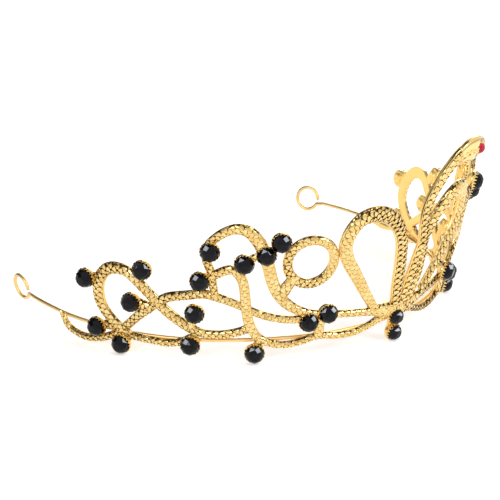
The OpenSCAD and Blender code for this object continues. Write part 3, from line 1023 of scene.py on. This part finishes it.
@dataclass
class Casting:
    """Scaled strands of one half of the band."""

    side: Side
    TAB_OFF = 0.06
    TAB_TALL = 0.8

    def strands(self) -> list[Strand]:
        """Returns the half's strands, its ring among them."""
        found = [Strand(rows, self.side, off=BACK_STEP * (k + 1)) for k, rows in enumerate(STRANDS)]
        if self.side is Side.LEFT:
            found[0] = replace(found[0], rows=(LEFT_TAIL_END,) + TAIL_STRAND[1:])
        return found + [ring_strand(self.side)]

    def tabs(self) -> list[Strand]:
        """Returns the tabs that join settings to strands."""
        tables = [rows_of((a, h, w), (a2, h2, w)) for a, h, a2, h2, w in TABS]
        if self.side is Side.LEFT:
            tables.append(MIDDLE_TAB)
        return [Strand(rows, self.side, off=self.TAB_OFF) for rows in tables]

    def build(self) -> None:
        """Makes the bodies and the scales."""
        draft = MeshDraft(f"casting_{self.side.word}")
        for strand in self.strands():
            StrandShape.add(draft, strand)
        for tab in self.tabs():
            StrandShape.add(draft, tab, self.TAB_TALL)
        body = draft.build()
        finish_piece(body, BODY_GOLD)
        if self.side is Side.LEFT:
            lit_group(FAR_SIDE).objects.link(body)
        ScaleSkin().lay(f"scales_{self.side.word}", [
            replace(s, rows=s.rows[::-1]) if s.rows == ARCH else s for s in self.strands() + self.tabs()
        ])


class NeckAndHead:
    """Serpent's neck and head, which rise at the front towards the wearer's left."""

    RING_POINTS = 40
    HEAD_STEP = 0.28
    # Share of the head's width and thickness that its scales cover, and where they end
    CHEEK_WIDTH = 0.84
    CHEEK_RISE = 1.17
    CHEEK_END = 13.4
    # Height in millimetres by which the crown and the jaw are fuller, and where along the head
    CROWN = (1.2, 0.22, 0.46)
    JAW = (0.85, 0.28, 0.34)
    # Where the snout begins to close and over what share of the head
    SNOUT = (0.86, 0.15)
    # Brow, cheek, nostril and pit: rise in millimetres, painted shade, place and width down it and along it
    SPOTS = (
        (0.45, 0.0, -0.42, 0.16, 0.6, 0.26), (0.25, 0.0, 0.1, 0.3, 0.3, 0.14),
        (-0.3, 1.0, -0.2, 0.14, 0.9, 0.04), (-0.5, 1.0, -0.5, 0.14, 0.49, 0.05),
    )
    # Rise and painted shade of the mouth line, of the border and of the line round the eye
    MOUTH = (-0.35, 1.0)
    BORDER = (-0.25, 1.0)
    SOCKET = (-0.3, 0.9)
    # Middle of that last line along and down the head, their millimetres, its radius and width
    SOCKET_AT = (0.59, 0.02)
    SOCKET_MM = (15.5, 3.2)
    SOCKET_LINE = (2.6, 0.28)

    def build(self) -> None:
        """Makes the neck, its scales and the head."""
        draft = MeshDraft("neck")
        strand = Strand(NECK, Side.LEFT)
        outer = -1 if strand.stations(5.0)[1].across.x > 0 else 1
        StrandShape.add(draft, strand, dark_wall=outer)
        finish_piece(draft.build(), BODY_GOLD)
        cheek = tuple(
            r._replace(width=r.width * self.CHEEK_WIDTH, thickness=r.thickness * self.CHEEK_RISE) for r in HEAD[1:3]
        )
        scaled = NECK[:-1] + cheek + (cheek[-1]._replace(angle=self.CHEEK_END),)
        ScaleSkin(span_share=0.78, column_pitch=2.5).lay("neck_scales", [Strand(scaled, Side.LEFT)])
        finish_piece(self.head(), BODY_GOLD)

    def relief(self, along: float, down: float) -> tuple[float, float]:
        """Returns how far the head's face stands out at a place, and how much painted shade it has.

        Args:
            along: Place from the neck, 0, to the snout, 1.
            down: Place from the top of the head, -1, to the jaw, 1.

        Returns:
            The height in millimetres and the painted shade value.
        """
        from_eye = math.hypot(*((x - at) * mm for x, at, mm in zip((along, down), self.SOCKET_AT, self.SOCKET_MM)))
        marks = [(rise, dark, hill(down, d, dw) * hill(along, a, aw)) for rise, dark, d, dw, a, aw in self.SPOTS]
        marks += [
            (*self.MOUTH, hill(down, 0.46 - 0.12 * math.sin(3.0 * along), 0.07) * ramp(along, 0.35, 0.5)),
            (*self.BORDER, hill(abs(down), 0.82, 0.06) * ramp(along, 1.0, 0.9)),
            (*self.SOCKET, hill(from_eye, *self.SOCKET_LINE)),
        ]
        return sum(rise * share for rise, _, share in marks), min(1.0, sum(dark * share for _, dark, share in marks))

    def head(self) -> bpy.types.Object:
        """Returns the head: a loft with a brow, a mouth line and a nostril."""
        draft = MeshDraft("head")
        stations = Strand(HEAD, Side.LEFT).stations(self.HEAD_STEP)
        last = len(stations) - 1
        upper = 1 if stations[last // 2].across.z > 0 else -1
        for i, s in enumerate(stations):
            along = i / last
            end = math.sqrt(max(0.0, 1.0 - max(0.0, (along - self.SNOUT[0]) / self.SNOUT[1]) ** 2))
            crown, jaw = (most * hill(along, *where) for most, *where in (self.CROWN, self.JAW))
            ring, dark, satin = [], [], []
            for turn in circle(self.RING_POINTS):
                sine = math.sin(turn)
                down = math.copysign(abs(math.cos(turn)) ** 0.7, math.cos(turn))
                face = max(0.0, sine) ** 0.5
                rise, recess = self.relief(along, down)
                up = 0.5 * sine ** 0.8 if sine > 0 else -0.48 * abs(sine) ** 0.5
                fuller = crown * max(0.0, down * upper) - jaw * max(0.0, -down * upper)
                out = s.body_height * (0.5 + up * end) + rise * face * end
                ring.append(s.centre + s.across * (down * s.half_span + upper * fuller) * end + s.out * out)
                # Painted shade in the head's grooves and pits, on the face only
                dark.append(recess * face)
                satin.append(1.0 if sine < 0 else 0.0)
            draft.add(ring, recess=dark, satin=satin)
        draft.join()
        return draft.build()


# Settings and stones

@dataclass(frozen=True)
class CutStone:
    """Faceted stone with a table, in shares of its diameter.

    Attributes:
        sides: Number of main facets round it.
        tiers: Height, radius as a share of the largest, and turn in facets, from the back up.
    """

    sides: int = 8
    tiers: tuple[tuple[float, float, float], ...] = (
        (-0.17, 0.5, 0.0), (-0.02, 0.99, 0.5), (0.04, 1.0, 0.5), (0.21, 0.85, 0.0),
        (0.32, 0.62, 0.5), (0.375, 0.42, 0.0),
    )

    def build(self, name: str, diameter: float, place: Matrix) -> bpy.types.Object:
        """Returns a stone with flat facets.

        Args:
            name: Name of the piece.
            diameter: Largest diameter in millimetres.
            place: Matrix of the middle of its girdle.

        Returns:
            The stone.
        """
        draft = MeshDraft(name)
        rings = [
            draft.add(ring_at(place, diameter / 2 * radius, diameter * height, circle(self.sides, turn)))
            for height, radius, turn in self.tiers
        ]
        for low, high, (_, _, turn), (_, _, next_turn) in zip(rings, rings[1:], self.tiers, self.tiers[1:]):
            for a, b, c, d in zip(low, low[1:] + low[:1], high[1:] + high[:1], high):
                if next_turn == turn:
                    draft.faces.append((a, b, c, d))
                elif next_turn > turn:
                    draft.faces.extend(((a, b, d), (b, c, d)))
                else:
                    draft.faces.extend(((a, c, d), (a, b, c)))
        draft.faces.extend((tuple(reversed(rings[0])), tuple(rings[-1])))
        return draft.build(smooth=False)


class ToothTree:
    """Geometry tree that stands a saw tooth on each point of the settings' rims."""

    SEED = 11
    TIP_SHARE = 0.12
    LEAN_SHARES = (-0.6, -1.4)

    @classmethod
    @functools.cache
    def get(cls) -> bpy.types.NodeTree:
        """Returns the tree, made once."""
        kit, given = new_tree("teeth_on_rims", "Geometry", {
            "Geometry": ("Rims",), "Material": ("Metal",),
            "Float": ("Tooth Width", "Tooth Depth", "Tooth Height", "Lean"),
        }, {"Geometry": ("Teeth",)})
        tooth = kit.add("GeometryNodeMeshCone", {
            "Vertices": 4, "Radius Top": cls.TIP_SHARE, "Radius Bottom": 1.0, "Depth": 1.0,
        }).outputs["Mesh"]
        lean = kit.times(given["Lean"], kit.remap(kit.random(cls.SEED), 0.0, 1.0, *cls.LEAN_SHARES))
        rotation = kit.tipped(kit.named("axis", "FLOAT_VECTOR"), kit.named("radial", "FLOAT_VECTOR"), lean)
        stamped = kit.add("GeometryNodeInstanceOnPoints", {
            "Points": given["Rims"], "Instance": tooth, "Rotation": rotation,
            "Scale": kit.combine(given["Tooth Depth"], given["Tooth Width"], given["Tooth Height"]),
        }).outputs["Instances"]
        real = kit.out("GeometryNodeRealizeInstances", {"Geometry": stamped})
        kit.add("NodeGroupOutput", {"Teeth": kit.clad(real, given["Metal"])})
        return kit.tree


@dataclass(frozen=True)
class SettingPlace:
    """Place of one setting: its CAD node, the matrix of its back and the stone's diameter."""

    node: str
    place: Matrix
    diameter: float

    @property
    def rim(self) -> float:
        """Returns the radius of the rim."""
        return self.diameter / 2 + RIM


@dataclass
class SettingGroup:
    """Round cups with saw teeth, and their stones.

    Attributes:
        word: Word that ends the names of the pieces.
        places: Places of the settings.
    """

    word: str
    places: list[SettingPlace]
    TEETH = 18
    SIDES = 24
    # Share of the rim's radius and height off the back at which the teeth stand
    TOOTH_RADIUS = 0.915
    TOOTH_FOOT = 1.75
    # Radius as a share of the rim's, height off the back of the band, painted shade inside the cup and under its
    # middle
    PROFILE = (
        (0.05, -0.20, 0.8), (0.11, -0.36, 0.2), (0.24, -0.46, 0.0), (0.38, -0.44, 0.0), (0.48, -0.30, 0.0),
        (0.52, 0.0, 0.0), (0.58, 0.30, 0.1), (0.74, 0.50, 0.0), (0.87, 0.78, 0.0), (0.92, 1.15, 0.0),
        (0.93, 1.80, 0.0), (0.91, 2.05, 0.1), (0.87, 2.05, 0.8), (0.83, 1.60, 1.0), (0.4, 1.5, 1.0),
    )

    def build(self) -> None:
        """Makes the cups, their teeth and the stones."""
        draft = MeshDraft(f"settings_{self.word}")
        for spot in self.places:
            for share, height, recess in self.PROFILE:
                satin = 1.0 if height < SATIN_BELOW else 0.0
                ring = ring_at(spot.place, spot.rim * share, height, circle(self.SIDES))
                draft.add(ring, recess=[recess] * self.SIDES, satin=[satin] * self.SIDES)
            draft.join()
        cups = draft.build()
        finish_piece(cups, BODY_GOLD)
        if self.word == Side.LEFT.word:
            lit_group(FAR_SIDE).objects.link(cups)
        finish_piece(self.make_teeth(), None)
        for spot in self.places:
            girdle = spot.place @ Matrix.Translation((0, 0, GIRDLE))
            stone = CutStone().build(f"cut_{spot.node}", spot.diameter, girdle)
            finish_piece(stone, BLACK_STONE, [spot.node])
            lit_group(GEMS).objects.link(stone)

    def make_teeth(self) -> bpy.types.Object:
        """Returns the teeth of all the cups as one piece."""
        draft = MeshDraft(f"teeth_{self.word}")
        turns = circle(self.TEETH)
        for spot in self.places:
            turn = spot.place.to_3x3()
            draft.add(
                ring_at(spot.place, spot.rim * self.TOOTH_RADIUS, self.TOOTH_FOOT, turns),
                axis=[turn @ Z_AXIS] * self.TEETH,
                radial=[turn @ Vector((math.cos(a), math.sin(a), 0)) for a in turns],
            )
        return run_tree(draft.build(solid=False), ToothTree.get(), {
            "Tooth Width": 0.55 * MM, "Tooth Depth": 0.20 * MM, "Tooth Height": 1.15 * MM,
            "Lean": -0.06, "Metal": POLISHED_GOLD.material(),
        })


class SerpentEye:
    """Red stone of the head with the collar round it."""

    DIAMETER = 3.7
    # Turn in degrees, and move from the CAD place in degrees and millimetres, that the picture shows
    TURN = -16.0
    MOVE = (-0.35, 0.45, -0.35)
    GIRDLE = 1.05
    SIDES = 24
    # Added to the stone's radius, height over the seat, and the painted shade on the upper left of the wall
    COLLAR = (
        (-0.4, 0.0, 0.0), (0.5, 0.0, 1.0), (0.65, 0.5, 1.0), (0.55, 1.0, 0.2), (0.3, 1.28, 0.0), (0.06, 1.2, 0.0),
        (0.0, 0.7, 1.0), (-0.4, 0.6, 1.0),
    )
    # Turn of the collar's deepest painted shade, in radians
    DARK_TURN = 2.4

    def build(self) -> None:
        """Makes the collar and the stone."""
        place = BAND.place(*(a + b for a, b in zip((*EYE_PLACE, EYE_SEAT), self.MOVE)))
        place @= Matrix.Rotation(math.radians(self.TURN), 4, "Y")
        draft = MeshDraft("eye_collar")
        turns = circle(self.SIDES)
        for more, height, dark in self.COLLAR:
            ring = ring_at(place, self.DIAMETER / 2 + more, height, turns)
            draft.add(ring, recess=[dark * max(0.0, math.cos(a - self.DARK_TURN)) for a in turns])
        draft.join()
        finish_piece(draft.build(), POLISHED_GOLD)
        stone = CutStone().build("serpent_eye", self.DIAMETER, place @ Matrix.Translation((0, 0, self.GIRDLE)))
        finish_piece(stone, RED_STONE, ["eye"])


class SupportWire:
    """Drawn wire behind the casting, bent into an eye at each end."""

    DIAMETER = 1.25
    SIDES = 12
    # Radians left open at the start and in all between the wire and its eye's end
    EYE_START = 0.10
    EYE_GAP = 0.24
    EYE_PARTS = 32
    EYE_RISE = 0.35

    def half_route(self, side: Side) -> list[Vector]:
        """Returns the middle line of one half, from the middle of the front to the end of the eye."""
        back = -WIRE_CAD_D * 0.44
        rows = tuple(Row(a, h, 0.0, back) for a, h in WIRE)
        fine = Strand(rows, side, bent=False).spline(lambda a, b: 4)
        route = [BAND.on_side(row, side, bent=False) for row in fine]
        place = BAND.place(side.value * WIRE_EYE[0], WIRE_EYE[1], back)
        middle = place.translation
        turn = Matrix.Rotation(math.radians(EYE_TWIST[side]), 3, "Z") @ place.to_3x3()
        radius = (WIRE_EYE_D - WIRE_CAD_D) / 2
        toward = turn.inverted() @ (route[-1] - middle)
        start = math.atan2(toward.y, toward.x)
        for k in range(1, self.EYE_PARTS + 1):
            share = k / self.EYE_PARTS
            a = start + side.value * (self.EYE_START + (2 * math.pi - self.EYE_GAP) * share)
            rise = self.EYE_RISE * (share - 0.5)
            route.append(middle + turn @ Vector((radius * math.cos(a), radius * math.sin(a), rise)))
        return route

    def build(self) -> None:
        """Makes the wire as one tube from eye to eye."""
        route = self.half_route(Side.RIGHT)[::-1] + self.half_route(Side.LEFT)[1:]
        draft = MeshDraft("support_wire")
        last = len(route) - 1
        first_way = Z_AXIS
        for i, place in enumerate(route):
            way = (route[min(i + 1, last)] - route[max(i - 1, 0)]).normalized()
            first_way = (first_way - first_way.dot(way) * way).normalized()
            second_way = way.cross(first_way)
            radius = self.DIAMETER / 2 * (0.8 if i in (0, last) else 1.0)
            turns = circle(self.SIDES)
            ring = [place + radius * (math.cos(a) * first_way + math.sin(a) * second_way) for a in turns]
            draft.add(ring, recess=[0.0] * self.SIDES)
        draft.join()
        finish_piece(draft.build(), WIRE_GOLD, ["frame", "end_loop_right", "end_loop_left"])


# Studio

@functools.cache
def lit_group(name: str) -> bpy.types.Collection:
    """Returns the group of pieces that some lamps are kept for, made once."""
    return bpy.data.collections.new(name)


@dataclass(frozen=True)
class SoftBox:
    """Soft lamp: where it stands, its size, power and colour, and the one group it lights, if any."""

    name: str
    place: tuple[float, float, float]
    size: float
    power: float
    colour: tuple[float, float, float] = (1.0, 1.0, 1.0)
    only: Optional[str] = None

    def build(self, target: Vector) -> None:
        """Adds the lamp, turned towards a place."""
        lamp = bpy.data.lights.new(self.name, "AREA")
        lamp.shape = "DISK"
        lamp.size = self.size
        lamp.energy = self.power
        lamp.color = self.colour
        thing = bpy.data.objects.new(self.name, lamp)
        thing.location = self.place
        thing.rotation_euler = (target - Vector(self.place)).to_track_quat("-Z", "Y").to_euler()
        bpy.context.collection.objects.link(thing)
        if self.only is not None:
            thing.light_linking.receiver_collection = lit_group(self.only)


def panel(name: str, middle: Vector, wide: Vector, tall: Vector, paper: PaperFinish) -> None:
    """Adds a flat panel as stage.

    Args:
        name: Name of the panel.
        middle: Place of its middle in millimetres.
        wide: Half of its width.
        tall: Half of its height.
        paper: Its finish.
    """
    draft = MeshDraft(name)
    corners = [middle + wide * x + tall * y for x, y in ((-1, -1), (1, -1), (1, 1), (-1, 1))]
    draft.faces.append(tuple(draft.add(corners)))
    thing = draft.build(smooth=False, solid=False)
    thing.data.materials.append(paper.material())


def from_angles(azimuth: float, elevation: float) -> Vector:
    """Returns the direction at an azimuth from the back towards +X and an elevation, in degrees."""
    az, el = math.radians(azimuth), math.radians(elevation)
    return Vector((math.sin(az) * math.cos(el), math.cos(az) * math.cos(el), math.sin(el)))


@dataclass
class Studio:
    """Camera, floor and lamps of the photograph.

    Attributes:
        target: Place that the camera's middle line is measured from, in millimetres.
        azimuth: Degrees that the camera stands round from the front towards the wearer's right.
        elevation: Degrees above the floor.
        roll: Turn of the picture in radians.
        distance: Distance from the target in millimetres.
        focal_pixels: Focal length in pixels of the picture.
        target_pixel: Where the target lies in the picture.
        picture: Side of the square picture in pixels.
        sensor: Width of the sensor in millimetres.
        floor_half: Half of the floor's side in millimetres.
        card_distance: Distance of the dark cards in millimetres.
        even_light: Strength of the light all round.
    """

    target: Vector = field(default_factory=lambda: Vector((0, 0, 21.47)))
    azimuth: float = 44.153
    elevation: float = 18.0
    roll: float = -0.006453
    distance: float = 700.0
    focal_pixels: float = 2012.3
    target_pixel: tuple[float, float] = (219.23, 222.42)
    picture: float = 500.0
    sensor: float = 36.0
    floor_half: float = 3000.0
    card_distance: float = 1400.0
    even_light: float = 0.9

    # Turn from straight behind, elevation of the middle, half width and half height of each dark card
    CARDS = (
        (-62.0, 17.0, 500.0, 370.0), (-22.0, 17.0, 480.0, 370.0), (-46.0, 45.0, 470.0, 300.0),
        (-4.0, 45.0, 400.0, 300.0), (-30.0, 86.0, 600.0, 560.0), (-103.0, 33.0, 330.0, 480.0),
    )
    COOL = (0.86, 0.91, 1.0)
    BOXES = (
        SoftBox("left_box", (-0.95, -0.25, 0.60), 0.30, 2.0),
        SoftBox("right_box", (0.15, -1.00, 0.65), 0.30, 3.0),
        SoftBox("rear_box", (0.9, 0.6, 0.5), 0.6, 3.0),
        SoftBox("far_fill", (-0.25, 1.05, 0.32), 0.9, 3.0, only=FAR_SIDE),
        SoftBox("stone_left", (-0.52, 0.36, 0.89), 0.85, 42.0, COOL, GEMS),
        SoftBox("stone_right", (0.51, -0.78, 0.50), 0.85, 48.0, COOL, GEMS),
    )

    def camera(self) -> None:
        """Adds the camera and makes it the scene's."""
        back = -from_angles(self.azimuth, -self.elevation)
        right = Z_AXIS.cross(back).normalized()
        up = back.cross(right)
        level, turned = math.cos(self.roll), math.sin(self.roll)
        lens = bpy.data.cameras.new("view")
        lens.sensor_fit = "HORIZONTAL"
        lens.sensor_width = self.sensor
        lens.lens = self.sensor * self.focal_pixels / self.picture
        lens.shift_x = 0.5 - self.target_pixel[0] / self.picture
        lens.shift_y = self.target_pixel[1] / self.picture - 0.5
        lens.clip_start = 0.01
        lens.clip_end = 20.0
        thing = bpy.data.objects.new("view", lens)
        matrix = Matrix((level * right + turned * up, level * up - turned * right, back)).transposed().to_4x4()
        matrix.translation = (self.target + back * self.distance) * MM
        thing.matrix_world = matrix
        bpy.context.collection.objects.link(thing)
        bpy.context.scene.camera = thing

    def cards(self) -> None:
        """Adds the dark cards round the back, which the upper edges reflect, as stage."""
        for number, (turn, rise, half_width, half_height) in enumerate(self.CARDS, 1):
            away = from_angles(self.azimuth + turn, rise)
            side = Z_AXIS.cross(away).normalized()
            up = away.cross(side)
            middle = away * self.card_distance
            panel(f"dark_card_{number}", middle, side * half_width, up * half_height, CARD_PAPER)

    def build(self) -> None:
        """Adds the floor, the cards, the lamps, the even light all round and the camera."""
        half = self.floor_half
        panel("floor", Vector(), Vector((half, 0, 0)), Vector((0, half, 0)), FLOOR_PAPER)
        self.cards()
        for box in self.BOXES:
            box.build(self.target * MM)
        world = bpy.data.worlds.new("even_light")
        world.use_nodes = True
        sky = next(n for n in world.node_tree.nodes if n.bl_idname == "ShaderNodeBackground")
        sky.inputs["Color"].default_value = (1.0, 1.0, 1.0, 1.0)
        sky.inputs["Strength"].default_value = self.even_light
        bpy.context.scene.world = world
        bpy.context.scene.view_settings.view_transform = "Standard"
        self.camera()


def setting_places(side: Side) -> list[SettingPlace]:
    """Returns the settings of one half."""
    found = []
    for i, (angle, height) in enumerate(SETTINGS, 1):
        place = BAND.place(side.value * angle, BAND.side_height(angle, height, side))
        found.append(SettingPlace(f"stone_{side.word}_{i:02d}", place, STONE_D))
    return found


def main() -> None:
    """Builds every piece, then the studio."""
    logging.basicConfig(level=logging.INFO, format="%(name)s %(message)s")
    for side in (Side.RIGHT, Side.LEFT):
        Casting(side).build()
        SettingGroup(side.word, setting_places(side)).build()
    middle = [
        SettingPlace(f"stone_centre_{i}", BAND.place(angle, height), MIDDLE_STONE_D)
        for i, (angle, height) in enumerate(MIDDLE_SETTINGS, 1)
    ]
    SettingGroup("centre", middle).build()
    NeckAndHead().build()
    SerpentEye().build()
    SupportWire().build()
    Studio().build()


if __name__ == "__main__":
    main()
